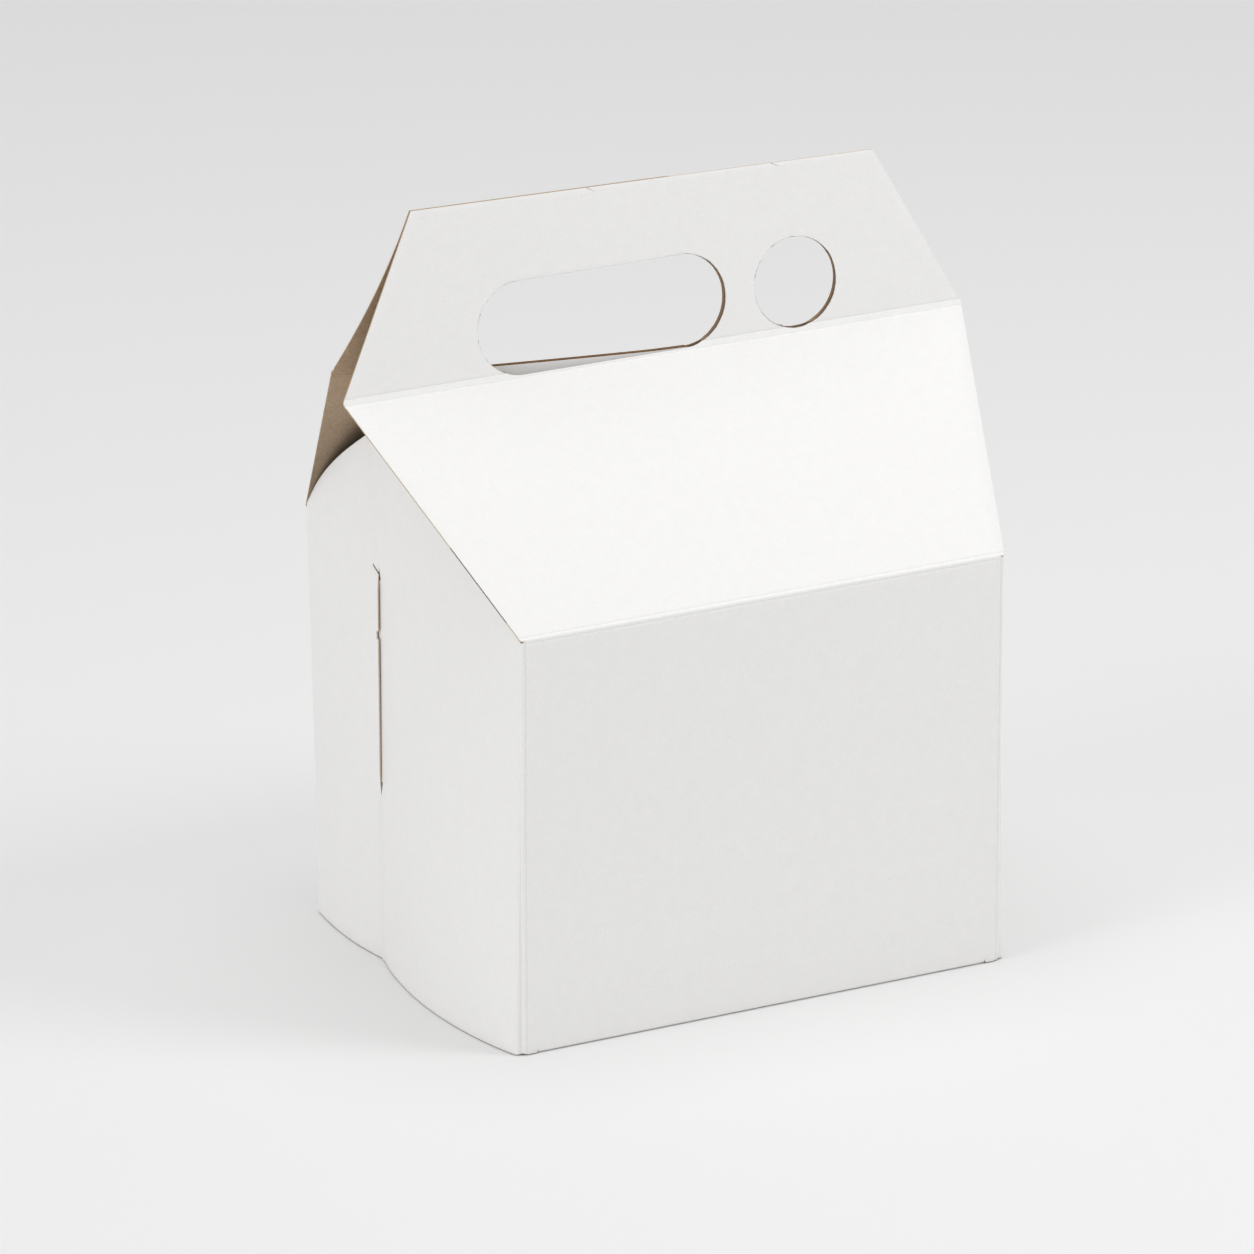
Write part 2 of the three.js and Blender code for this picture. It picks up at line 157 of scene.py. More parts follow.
def join(target, sheet):
    """Adds one sheet's faces to another."""
    mesh = bpy.data.meshes.new("joined")
    sheet.to_mesh(mesh)
    sheet.free()
    target.from_mesh(mesh)
    bpy.data.meshes.remove(mesh)


# %% [markdown]
# ## Punching
# A die cuts the sheet along an outline. A boolean could do it, but it needs a
# closed cutter and often leaves slivers in a thin sheet. `bisect_plane` makes
# one straight cut, so a convex outline is one cut for each of its sides, and
# each cut only goes through the faces that are still inside all the sides
# before it. What is left inside at the end is the waste, which is deleted.

# %%
def punch(sheet, outline, drop, chosen):
    """Cuts a convex outline out of a sheet. drop is the axis along which the die moves."""
    inside = [f for f in sheet.faces if chosen(f.calc_center_median() / MM)]
    middle = sum(outline, Vector((0, 0, 0))) / len(outline)
    for a, b in zip(outline, outline[1:] + outline[:1]):
        out = (b - a).cross(drop).normalized()
        if out.dot(a - middle) < 0:
            out.negate()
        parts = set(inside)
        for f in inside:
            parts.update(f.verts)
            parts.update(f.edges)
        cut = bmesh.ops.bisect_plane(sheet, geom=list(parts), dist=1e-8, plane_co=a * MM, plane_no=out)
        faces = [g for g in cut["geom"] if isinstance(g, bmesh.types.BMFace)]
        inside = [f for f in faces if (f.calc_center_median() - a * MM).dot(out) < 0]
    bmesh.ops.delete(sheet, geom=inside, context="FACES")


# %% [markdown]
# ## Hand slot and round hole
# The slot is a long hole with round ends, wide enough for four fingers, and
# a round hole stands beside it. Both outlines are worked out from a length or
# a diameter. The rear flap's slot is the same one
# moved and turned a little, because two folded panels never meet exactly. Its
# lower left corner is fuller and its right end a little short, so the front
# slot shows a rim of it.

# %%
def slot_outline(square=1.0, short=0, sides=28):
    """The hand slot's outline. Above 1, square fills out its lower left; short draws in its right end."""
    r = SLOT["height"] / 2
    half = SLOT["length"] / 2 - r
    z = FRONT_CREASE.z + r
    right = [(half - short + r * math.cos(a), r * math.sin(a)) for a in steps(-math.pi / 2, math.pi / 2, sides)]
    left = []
    for a in steps(0, math.pi, sides):
        power = 1 if a < math.pi / 2 else 1 / square
        rise = math.copysign(r * abs(math.cos(a)) ** power, math.cos(a))
        left.append((-half - r * math.sin(a) ** power, rise))
    return [Vector((SLOT["x"] + h, 0, z + v)) for h, v in right + left]


def hole_outline(sides=64):
    r = HOLE["diameter"] / 2
    z = FRONT_CREASE.z + HOLE["lift"] + r
    angles = steps(0, math.tau, sides)[:-1]
    return [Vector((HOLE["x"] + r * math.cos(a), 0, z + r * math.sin(a))) for a in angles]


print("outlines:", len(slot_outline()), "points round the slot and", len(hole_outline()), "round the hole")


# %%
# From the front slot's place to the rear slot's
def to_rear_slot(p):
    x, z = p.x, p.z - FRONT_CREASE.z
    turned_x = x * math.cos(REAR_TILT) + z * math.sin(REAR_TILT)
    turned_z = z * math.cos(REAR_TILT) - x * math.sin(REAR_TILT)
    return Vector((turned_x, p.y, FRONT_CREASE.z + REAR_LIFT + turned_z))


rear_slot = [to_rear_slot(p) for p in slot_outline(square=2.6, short=0.6)]
print("rear slot:", len(rear_slot), "points, turned by", round(math.degrees(REAR_TILT), 1), "degrees")


# %% [markdown]
# ## Paper
# White lined board has three looks: a smooth coated face, a rough grey-brown
# face inside, and a cut edge in between. All three are the same recipe in
# other colours. Fine noise gives the grain of the fibres, a wider noise gives
# the soft flocks that paper shows against the light, and both drive a very
# small bump. An image of paper would do too, but noise on the Object
# coordinates has no seam and no size of its own.

# %%
NOISE_LOW, NOISE_HIGH = 0.3, 0.7
FLOCK_SHARE = 0.22
RELIEF_HEIGHT = 0.00004
DEEP_Z, OPEN_Z = 0.14, 0.187


def board_material(name):
    material = bpy.data.materials.new(name)
    material.use_nodes = True
    nodes = material.node_tree.nodes
    return material, nodes, material.node_tree.links, nodes["Principled BSDF"]


def noise(nodes, links, place, scale, detail):
    """Noise on the piece's own coordinates, stretched to run from 0 to 1."""
    texture = nodes.new("ShaderNodeTexNoise")
    texture.inputs["Scale"].default_value = scale
    texture.inputs["Detail"].default_value = detail
    stretch = nodes.new("ShaderNodeMapRange")
    stretch.inputs["From Min"].default_value = NOISE_LOW
    stretch.inputs["From Max"].default_value = NOISE_HIGH
    links.new(place.outputs["Object"], texture.inputs["Vector"])
    links.new(texture.outputs["Fac"], stretch.inputs["Value"])
    return stretch.outputs["Result"]


# %% [markdown]
# ## Painted shade towards the roof folds
# Inside, the board is painted a little darker towards the roof folds: painted
# shade, for the shade where less light gets in through the gap at the end. The
# function below multiplies a colour by a value that rises with the height in
# the carton. With deep at 1 it changes nothing, which is how the faces outside use it.

# %%
def painted_shade(nodes, links, place, colour, deep):
    height = nodes.new("ShaderNodeSeparateXYZ")
    rise = nodes.new("ShaderNodeMapRange")
    rise.inputs["From Min"].default_value = DEEP_Z
    rise.inputs["From Max"].default_value = OPEN_Z
    rise.inputs["To Min"].default_value = deep
    scaled = nodes.new("ShaderNodeVectorMath")
    scaled.operation = "SCALE"
    links.new(place.outputs["Object"], height.inputs["Vector"])
    links.new(height.outputs["Z"], rise.inputs["Value"])
    links.new(colour, scaled.inputs[0])
    links.new(rise.outputs["Result"], scaled.inputs["Scale"])
    return scaled.outputs["Vector"]


def paper(name, colour, darker, roughness, grain, flock, bump, specular, deep=1.0):
    """Fine grain over soft flocks of fibre, between two colours of the same paper; a deep below 1 adds painted
    shade lower down.
    """
    material, nodes, links, shader = board_material(name)
    place = nodes.new("ShaderNodeTexCoord")
    blend = nodes.new("ShaderNodeMix")
    blend.inputs["Factor"].default_value = FLOCK_SHARE
    tint = nodes.new("ShaderNodeMix")
    tint.data_type = "RGBA"
    tint.inputs["A"].default_value = (*darker, 1)
    tint.inputs["B"].default_value = (*colour, 1)
    relief = nodes.new("ShaderNodeBump")
    relief.inputs["Strength"].default_value = bump
    relief.inputs["Distance"].default_value = RELIEF_HEIGHT
    links.new(noise(nodes, links, place, grain, 5), blend.inputs["A"])
    links.new(noise(nodes, links, place, flock, 3), blend.inputs["B"])
    links.new(blend.outputs["Result"], tint.inputs["Factor"])
    links.new(painted_shade(nodes, links, place, tint.outputs["Result"], deep), shader.inputs["Base Color"])
    links.new(blend.outputs["Result"], relief.inputs["Height"])
    links.new(relief.outputs["Normal"], shader.inputs["Normal"])
    shader.inputs["Roughness"].default_value = roughness
    shader.inputs["Specular IOR Level"].default_value = specular
    return material


# %%
# The four finishes of the board
white_face = paper(
    "white_face", (0.935, 0.931, 0.922), (0.872, 0.865, 0.853),
    roughness=0.55, grain=2300, flock=260, bump=0.25, specular=0.35)
# deep=0.55 paints the inside darker lower down in the carton: painted shade.
kraft_face = paper(
    "kraft_face", (0.6, 0.455, 0.32), (0.42, 0.305, 0.205),
    roughness=0.85, grain=1300, flock=160, bump=0.5, specular=0.15, deep=0.55)
cut_edge = paper(
    "cut_edge", (0.68, 0.56, 0.43), (0.52, 0.4, 0.28),
    roughness=0.9, grain=2000, flock=300, bump=0.4, specular=0.1)
# A darker brown for cut edges that lie in shade: painted shade.
shade_painted_edge = paper(
    "shade_painted_edge", (0.24, 0.14, 0.07), (0.13, 0.07, 0.035),
    roughness=0.9, grain=2000, flock=300, bump=0.4, specular=0.1)
COATED, KRAFT, EDGE, SHADE_PAINTED_EDGE = range(4)
finishes = (white_face, kraft_face, cut_edge, shade_painted_edge)
print("finishes:", [m.name for m in finishes])


# %% [markdown]
# ## Cut edges
# A cutting rule doesn't leave a razor edge: the coated face is drawn over a
# little, and that rounded lip catches a thin line of light. A bevel on the
# coated side of each rim makes it. The rims along the roof folds are left
# sharp, because the real board isn't cut there but only creased. Round the
# slot and the hole, and under the roof beside its front fold, the cut edge lies
# in shade and is given a darker brown for it: painted shade. Beside the fold, that
# dark rim stands in for a narrow dark gap under the roof's edge.

# %%
LIP = 0.16
FOLD_NEAR = 1.3


def on_roof_fold(edge):
    """True for an edge that runs along the fold between a wall and its roof flap."""
    a, b = edge.verts[0].co, edge.verts[1].co
    for v in (a, b):
        if abs(abs(v.y) - TOP_DEPTH / 2 * MM) >= FOLD_NEAR * MM or abs(v.z - FOLD_Z * MM) >= FOLD_NEAR * MM:
            return False
    return abs(a.x - b.x) > 0.7 * (a - b).length


def soften_lip(mesh):
    """Rounds the coated face over its cut edges."""
    shell = bmesh.new()
    shell.from_mesh(mesh)
    lip = []
    for edge in shell.edges:
        if sorted(f.material_index for f in edge.link_faces) == [COATED, EDGE] and not on_roof_fold(edge):
            lip.append(edge)
    bmesh.ops.bevel(
        shell, geom=lip, offset=LIP * MM, offset_type="OFFSET", affect="EDGES",
        segments=2, profile=0.5, material=-1, clamp_overlap=False)
    shell.to_mesh(mesh)
    shell.free()


def gets_painted_shade(middle):
    """True for a cut edge that gets painted shade: round the slot or the hole, or under the roof beside its
    front fold.
    """
    x, y, z = middle / MM
    in_handle = abs(x) < 64 and FRONT_CREASE.z - 3 < z < FRONT_CREASE.z + 34
    # Beside the fold, the dark rim is painted shade standing in for a narrow dark gap.
    by_fold = y < -46 and FOLD_Z + 3 < z < FOLD_Z + 21
    return in_handle or by_fold


# %% [markdown]
# ## Board with a thickness
# `Solidify` gives the folded sheet its 0.5 mm, inwards, so that the printed
# size is on the outside. The same modifier hands out the materials of a real
# board: the coated face outside, the uncoated face inside and the raw edge
# round the rim. The result is turned into a plain mesh, so that the lips can
# be rounded and only the real corners are marked sharp. Each finished piece
# then says which body it moves with and which solid of the frame it replaces.

# %%
SHARP = math.radians(32)


def solid_board(piece, thickness):
    """The mesh that a piece's sheet becomes once it has its thickness."""
    for material in finishes:
        piece.data.materials.append(material)
    board = piece.modifiers.new("Board", "SOLIDIFY")
    board.thickness = thickness * MM
    board.offset = -1
    board.use_even_offset = True
    board.material_offset = KRAFT
    board.material_offset_rim = EDGE
    mesh = bpy.data.meshes.new_from_object(piece.evaluated_get(bpy.context.evaluated_depsgraph_get()))
    piece.modifiers.clear()
    return mesh


def face_outwards(sheet, outward):
    """Turns a sheet so that the face that lies furthest along outward points that way."""
    bmesh.ops.recalc_face_normals(sheet, faces=sheet.faces)
    furthest = max(sheet.faces, key=lambda f: f.calc_center_median().dot(outward))
    if furthest.normal.dot(outward) < 0:
        bmesh.ops.reverse_faces(sheet, faces=sheet.faces)


def board_piece(name, sheet, body, nodes, outward, thickness=BOARD, lips=True):
    bmesh.ops.remove_doubles(sheet, verts=sheet.verts, dist=2e-6)
    face_outwards(sheet, Vector(outward))
    mesh = bpy.data.meshes.new(name)
    sheet.to_mesh(mesh)
    sheet.free()
    piece = bpy.data.objects.new(name, mesh)
    bpy.context.scene.collection.objects.link(piece)
    piece.data = solid_board(piece, thickness)
    if lips:
        soften_lip(piece.data)
    # Cut edges in the shaded places get the darker brown: painted shade.
    for face in piece.data.polygons:
        if face.material_index == EDGE and gets_painted_shade(face.center):
            face.material_index = SHADE_PAINTED_EDGE
    piece.data.shade_smooth()
    piece.data.set_sharp_from_angle(angle=SHARP)
    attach(piece, body)
    if nodes:
        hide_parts(*nodes)
    print(name, len(piece.data.vertices), "vertices", len(piece.data.polygons), "faces")
    return piece


# %% [markdown]
# ## The fold between wall and roof
# Every fold is a small arc whose ends touch the two flat panels. The roof
# fold belongs half to the wall and half to the roof flap, because the flap
# swings on it. These values say how far the board turns there and how far
# before the corner the arc starts.

# %%
ROOF_PITCH = math.atan2(FRONT_CREASE.z - FOLD_Z, FRONT_CREASE.y + TOP_DEPTH / 2)
ROOF_TURN = math.pi / 2 + math.atan(LEAN) - ROOF_PITCH
ROOF_SETBACK = FOLD_RADIUS * math.tan(ROOF_TURN / 2)
HALF_TURN = ROOF_TURN / 2
TOP_SHARE = 0.006


def wall_face(z):
    """How far the outside of the front or rear wall is from the middle, at a height."""
    return BOTTOM_DEPTH / 2 + LEAN * z


print("the roof turns by", round(math.degrees(ROOF_TURN), 1), "degrees from the wall")


# %% [markdown]
# ## End flaps
# The end walls aren't flat. Each is made of two flaps that are hooked into
# each other, and the front one bulges out at its loose foot. `end_bow` gives
# that bulge. The two flaps also change places twice up the seam, and that is
# what locks them: `layer` says which one is outside at a height. Their tops
# are curved, lower at the right end, where the roof is closed more tightly.

# %%
def end_bow(y, z):
    """How far the end wall stands out from its corner folds."""
    loose = max(0, 1 - z / LOCK_Z) ** 1.3
    bulge = mix(0.8, 7.0, loose)
    if y < SEAM_Y:
        t = min(max((y + TOP_DEPTH / 2) / FRONT_REACH, 0), 1)
        return 1.2 * t + bulge * (4 * t * (1 - t)) ** 0.85
    t = (TOP_DEPTH / 2 - y) / REAR_REACH
    return 1.2 * t + 2.2 * 4 * t * (1 - t)


def layer(z):
    """+1 where the rear flap is the outer layer, -1 where it is the inner one."""
    half = LOCK_BAND / 2
    foot_change = ease(SLIT_FOOT - half, SLIT_FOOT + half, z)
    lock_change = ease(LOCK_Z - half, LOCK_Z + half, z)
    return 2 * (foot_change - lock_change) - 1


def flap_top(side, end, inset):
    """How far a flap's top edge rises over the wall, at a distance from its corner fold."""
    if side < 0:
        rise, height = 0.5, 5
    else:
        rise, height = 0.62, (8.2 if end < 0 else 3.9)
    peak = 40 if end < 0 else 35
    drop = mix(TOP_CLEAR, 1.1, ease(1, 6, inset))
    return min(rise * inset + height * (1 - math.exp(-inset / 15.5)) - drop, peak)


def flap_reach(side):
    """The length of an end flap with the tab that lies behind the other flap."""
    return (FRONT_REACH if side < 0 else REAR_REACH) + TAB


print("bulge at the foot:", round(end_bow(SEAM_Y / 2, 0), 1), "mm, layers:", [layer(z) for z in (20, 90, 150)])


# %% [markdown]
# ## Half a wall and its end flap
# One strip of board runs from the middle of a wall outwards, round the corner
# fold and along the end flap. `round_corner` walks along that strip. `foot`
# gives its lower edge: it rounds the free corner beside the bottom fold and
# lifts off the table, which leaves the small nick that the die cuts there.

# %%
STRAIGHT = WALL_WIDTH / 2 - FOLD_RADIUS
CORNER_ARC = FOLD_RADIUS * math.pi / 2
BOTTOM_TURN = math.pi / 2 - math.atan(LEAN)
BOTTOM_SETBACK = FOLD_RADIUS * math.tan(BOTTOM_TURN / 2)
BOTTOM_START = BOTTOM_SETBACK * math.cos(math.atan(LEAN))
FOOT_RADIUS, FOOT_LIFT = 1.6, 0.1
LAYER_STEP = 0.45


def round_corner(a):
    """How far out and in a point lies, a along the strip, and how far the board has turned there."""
    if a <= STRAIGHT:
        return a, 0, 0
    if a < STRAIGHT + CORNER_ARC:
        turn = (a - STRAIGHT) / FOLD_RADIUS
        return STRAIGHT + FOLD_RADIUS * math.sin(turn), FOLD_RADIUS * (1 - math.cos(turn)), turn
    return WALL_WIDTH / 2, FOLD_RADIUS + a - STRAIGHT - CORNER_ARC, math.pi / 2


def foot(a, x, inset):
    """The height of the strip's lower edge."""
    if a <= WALL_WIDTH / 2 - RELIEF:
        return BOTTOM_START
    away = max(0, 1 - math.hypot(WALL_WIDTH / 2 - x, inset) / FOOT_RADIUS)
    return FOOT_LIFT + FOOT_RADIUS * (1 - math.sqrt(1 - away ** 2))


# %%
# A point of the wall, v upwards, with its half of the roof fold
def wall_point(side, x, pressed, bottom, v):
    lean = Vector((0, side * LEAN, 1)).normalized()
    top = FOLD_Z - ROOF_SETBACK * lean.z
    if v <= 1 - TOP_SHARE:
        z = mix(bottom, top, v / (1 - TOP_SHARE))
        above = top - z + HALF_TURN * FOLD_RADIUS
        return x, side * (wall_face(z) - max(pressed, score(above))), z
    corner = Vector((0, side * TOP_DEPTH / 2, FOLD_Z))
    out = Vector((0, side * lean.z, -side * lean.y))
    centre = corner - lean * ROOF_SETBACK - out * FOLD_RADIUS
    turn = HALF_TURN * (v - 1 + TOP_SHARE) / TOP_SHARE
    sunk = FOLD_RADIUS - score((HALF_TURN - turn) * FOLD_RADIUS)
    p = centre + (out * math.cos(turn) + lean * math.sin(turn)) * sunk
    return x, p.y - side * pressed, p.z


# %%
# A point of the corner fold or the end flap
def flap_point(side, end, x, inset, sunk, bottom, v):
    in_fold = inset <= FOLD_RADIUS
    top = WALL_HEIGHT - TOP_CLEAR if in_fold else WALL_HEIGHT + flap_top(side, end, inset)
    z = mix(bottom, top, v)
    y = side * (wall_face(min(z, WALL_HEIGHT)) - inset - sunk)
    if not in_fold:
        near = ease(flap_reach(side) - TAB * 2.6, flap_reach(side) - TAB * 1.1, inset)
        x += end_bow(y, z) + side * LAYER_STEP * layer(z) * near
    return x, y, z


def band_point(side, end, a, v):
    """A point of the strip: a runs outwards from the middle of the wall, v upwards."""
    x, inset, turn = round_corner(a)
    pressed = score(a - STRAIGHT - CORNER_ARC / 2, CORNER_SCORE_DEPTH)
    x -= pressed * math.sin(turn)
    bottom = foot(a, x, inset)
    if a <= STRAIGHT:
        x, y, z = wall_point(side, x, pressed, bottom, v)
    else:
        x, y, z = flap_point(side, end, x, inset, pressed * math.cos(turn), bottom, v)
    return end * x, y, z


print("middle of the front wall:", [round(c, 1) for c in band_point(-1, 1, 0, 0.5)])

# %% [markdown]
# ## Where the grid needs its rows
# A flat panel needs few faces and a fold needs many. The columns crowd round
# the corner fold and the rows round the roof fold, so the grooves of the
# score lines come out smooth, and the rest of the wall stays light.

# %%
inner_columns = steps(0, WALL_WIDTH / 2 - RELIEF, 15)
corner_start = WALL_WIDTH / 2 - 2.4
fold_columns = steps(corner_start, STRAIGHT, 8) + steps(STRAIGHT, STRAIGHT + CORNER_ARC, 10)[1:]
corner_columns = [WALL_WIDTH / 2 - 4.6, WALL_WIDTH / 2 - 3.4] + fold_columns
near_fold = [1 - d / WALL_HEIGHT for d in (1.8, 1.5, 1.25, 1, 0.8, 0.6, 0.4, 0.2)]
heights = [h * (1 - TOP_SHARE) for h in steps(0, 0.98, 54) + near_fold]
heights += [1 - TOP_SHARE * k / 6 for k in range(6, -1, -1)]
print("rows:", len(heights), "columns of a wall:", len(inner_columns) + len(corner_columns))


# %% [markdown]
# ## The seam and its lock
# The two flaps meet at a slit that runs up the end wall. In real board each
# flap has a slot cut half way, and the two are pushed into each other. The
# outer layer ends exactly at the seam, and the inner one runs on behind it,
# so here each flap is cut back only over the stretches where it is outside.
# Near the top a hooked cut keeps the flaps from sliding apart, and a short
# nick sits in the seam below it.

# %%
NICK_LOW, NICK_HIGH = 102.5, 104.9
DIE_REACH, TOP_OF_ALL = 200, 260


def seam(z):
    """Where the seam lies at a height: it leans back below the lock and a little above it."""
    if z < LOCK_Z:
        return SEAM_Y + 2.2 * (1 - z / LOCK_Z)
    return SEAM_Y + 2.6 * (z - LOCK_Z) / 34


def die(points):
    return [Vector((0, y, z)) for y, z in points]


def seam_cut(side, low, high):
    """Takes away everything of a flap that is past the seam, from low to high."""
    near_low, near_high = (seam(z) + side * SEAM_GAP / 2 for z in (low, high))
    past = -side * DIE_REACH
    return die([(past, low), (near_low, low), (near_high, high), (past, high)])


def lock_cuts():
    """The hooked cut and the nick of the rear flap."""
    hook, nick = seam(LOCK_Z), seam((NICK_LOW + NICK_HIGH) / 2)
    return [
        die([(hook - 1, 122.1), (hook + 3.6, 124.9), (hook + 3.6, 125.4), (hook - 1, 122.8)]),
        die([(nick - 1, NICK_LOW), (nick + 1, NICK_LOW), (nick + 1, NICK_HIGH), (nick - 1, NICK_HIGH)]),
    ]


print("seam at the foot and at the lock:", round(seam(0), 1), round(seam(LOCK_Z), 1))


# %%
# One strip of wall and flap, cut along its seam
def wall_band(side, end):
    start = STRAIGHT + CORNER_ARC
    stop = start - 1 + flap_reach(side)
    flap_columns = steps(start, start + 1.4, 8)[1:]
    flap_columns += steps(start + 1.4, stop, round(flap_reach(side) / 2.4))[1:]
    columns = inner_columns + corner_columns + flap_columns
    band = folded_grid(columns, heights, lambda a, v: band_point(side, end, a, v))
    if side < 0:
        zones = [(-1, SLIT_FOOT + LOCK_OPEN), (LOCK_Z - LOCK_OPEN, LOCK_Z), (LOCK_Z, TOP_OF_ALL)]
        cuts = []
    else:
        zones = [(SLIT_FOOT - LOCK_OPEN, LOCK_Z), (LOCK_Z, LOCK_Z + LOCK_OPEN)]
        cuts = lock_cuts()
    for cut in cuts + [seam_cut(side, low, high) for low, high in zones]:
        punch(band, cut, Vector((1, 0, 0)), lambda c: abs(c.x) > WALL_WIDTH / 2 - 0.5)
    return band


# %% [markdown]
# ## Bottom
# The bottom panel hangs between the two walls on a fold at each side. It is a
# third sheet, drawn from the front wall's lower edge, under the carton, to
# the rear wall's. Only one half is made, and it is mirrored later.

# %%
flat_half = BOTTOM_DEPTH / 2 - BOTTOM_SETBACK
TUCK_HALF = 60.5


def bottom_point(x, s):
    """A point of the bottom strip: s runs from the front wall's lower edge to the rear wall's."""
    side = -1 if s < 0 else 1
    s = abs(s)
    if s <= flat_half:
        return -x, side * s, 0
    angle = (s - flat_half) / FOLD_RADIUS
    y = flat_half + FOLD_RADIUS * math.sin(angle)
    return -x, side * y, FOLD_RADIUS * (1 - math.cos(angle))


arc_stops = [flat_half + FOLD_RADIUS * t for t in steps(0, BOTTOM_TURN, 8)]
tuck_stops = steps(-TUCK_HALF, TUCK_HALF, 22)
bottom_stops = [-s for s in reversed(arc_stops)] + [-64] + tuck_stops + [64] + arc_stops
body = folded_grid(inner_columns, bottom_stops, bottom_point)
print("bottom:", len(body.faces), "faces for one half")


# %% [markdown]
# ## Tuck flaps
# A flap at each end of the bottom is folded up inside the end wall and keeps
# the floor of the carton from falling through. It joins the bottom between
# two stops of the same grid, so their vertices meet and merge. `mirror` then
# makes the other half of the floor.

# %%
TUCK_FOLD, TUCK_HEIGHT, TUCK_TAPER = WALL_WIDTH / 2 - 2.4, 29, 0.09


def tuck_point(s, y):
    """A point of the side flap that is tucked up inside the end wall."""
    flat = TUCK_FOLD - FOLD_RADIUS
    if s <= flat:
        return -s, y, 0
    angle = min((s - flat) / FOLD_RADIUS, math.pi / 2)
    up = max(0, s - flat - FOLD_RADIUS * math.pi / 2)
    x = flat + FOLD_RADIUS * math.sin(angle)
    return -x, y * (1 - up / TUCK_HEIGHT * TUCK_TAPER), FOLD_RADIUS * (1 - math.cos(angle)) + up


tuck_arc = TUCK_FOLD - FOLD_RADIUS
tuck_columns = [WALL_WIDTH / 2 - RELIEF, tuck_arc]
tuck_columns += [tuck_arc + t for t in steps(0, math.pi / 2, 6)[1:]]
tuck_columns += [tuck_arc + math.pi / 2 + t for t in steps(0, TUCK_HEIGHT, 6)[1:]]
join(body, folded_grid(tuck_columns, tuck_stops, tuck_point))
everything = body.verts[:] + body.edges[:] + body.faces[:]
bmesh.ops.mirror(body, geom=everything, axis="X", merge_dist=2e-6)
print("floor with both tuck flaps:", len(body.faces), "faces")

# %% [markdown]
# ## The carton in one piece
# The four strips of wall and flap join the floor in one mesh, and the doubles
# merge along the bottom folds and the middle of each wall. From here on it is
# one board, as on the real carton.

# %%
for side in (-1, 1):
    for end in (-1, 1):
        join(body, wall_band(side, end))
board_piece("carton", body, "carton", ["carton_body"], (0, -1, 0))


# %% [markdown]
# ## Roof and handle profiles
# Seen from the end, a roof flap is a straight roof, a crease and a handle
# panel. The front one is straight all the way. The rear one stands off it
# towards the left end, where the carton isn't pinched shut: its crease moves
# back and up, and its handle is a curve that starts loose and ends flat
# against the front handle. `handle_point` is that curve, a cubic between the
# two ends with a chosen slope at each.

# %%
REAR_CREASE_Y, GAPE_DEPTH, GAPE_RISE = -2.6, 12, 5.6
REAR_TOP_Y, REAR_DROP, REAR_STEP, REAR_STEP_AT = 1.4, 0.1, 0.6, 9


def front_profile(across):
    """Crease, top edge and the handle's two slopes; across runs from -1 at the left end to 1."""
    top = FRONT_TOP - Vector((0, 0, TOP_TILT * across))
    return FRONT_CREASE, top, -HANDLE_LEAN, -HANDLE_LEAN


def rear_profile(across):
    loose = max(0, -across)
    crease_z = FRONT_CREASE.z + GAPE_RISE * loose ** 1.5
    crease = Vector((0, REAR_CREASE_Y + GAPE_DEPTH * loose ** 1.15, crease_z))
    step = REAR_STEP * ease(REAR_STEP_AT, REAR_STEP_AT + 1.5, across * HANDLE_TOP_WIDTH / 2)
    top = Vector((0, REAR_TOP_Y, FRONT_TOP.z - TOP_TILT * across - REAR_DROP - step))
    chord = math.atan2(crease.y - top.y, top.z - crease.z)
    return crease, top, chord + math.radians(11) * loose, -HANDLE_LEAN


def handle_point(profile, t):
    """A point of the handle's curve, from the crease at 0 to the top edge at 1."""
    crease, top, start, end = profile
    length = (top - crease).length
    a = Vector((0, -math.sin(start), math.cos(start))) * length
    b = Vector((0, -math.sin(end), math.cos(end))) * length
    return ((2 * t ** 3 - 3 * t ** 2 + 1) * crease + (t ** 3 - 2 * t ** 2 + t) * a
            + (3 * t ** 2 - 2 * t ** 3) * top + (t ** 3 - t ** 2) * b)


print("rear crease stands back by", round(rear_profile(-1)[0].y - FRONT_CREASE.y, 1), "mm at the left end")

# %% [markdown]
# ## A roof flap, point by point
# The flap's rows are numbered by what they cross: -1 to 0 the fold on the
# wall, 0 to 1 the roof, 1 to 2 the rounded crease and 2 to 3 the handle. Each
# stretch has its own function, and the panel grows wider up to the crease and
# narrower again up the handle. The crease is a smooth curve drawn with three
# points, because its two panels meet at another angle in every column.

# %%
CREASE_LENGTH = 1.3


def roof_corner(side):
    return Vector((0, side * TOP_DEPTH / 2, FOLD_Z))


def fold_row(side, crease, across, row):
    """The flap's half of the fold on the wall."""
    up = (crease - roof_corner(side)).normalized()
    out = Vector((0, side * up.z, -side * up.y))
    centre = roof_corner(side) + up * ROOF_SETBACK - out * FOLD_RADIUS
    turn = HALF_TURN * -row
    sunk = FOLD_RADIUS - score((HALF_TURN - turn) * FOLD_RADIUS)
    p = centre + (out * math.cos(turn) - up * math.sin(turn)) * sunk
    return across * WALL_WIDTH / 2, p.y, p.z


def roof_row(side, ridge, crease, across, row):
    """The straight roof, which grows wider on its way up."""
    corner = roof_corner(side)
    up = (crease - corner).normalized()
    p = mix(corner + up * ROOF_SETBACK, crease - up * CREASE_LENGTH, row)
    risen = (p - corner).length
    half = mix(WALL_WIDTH, ridge, risen / (crease - corner).length) / 2
    past_fold = risen - ROOF_SETBACK + HALF_TURN * FOLD_RADIUS
    p += Vector((0, -side * up.z, side * up.y)) * (score(past_fold) + score((crease - p).length))
    return across * half, p.y, p.z


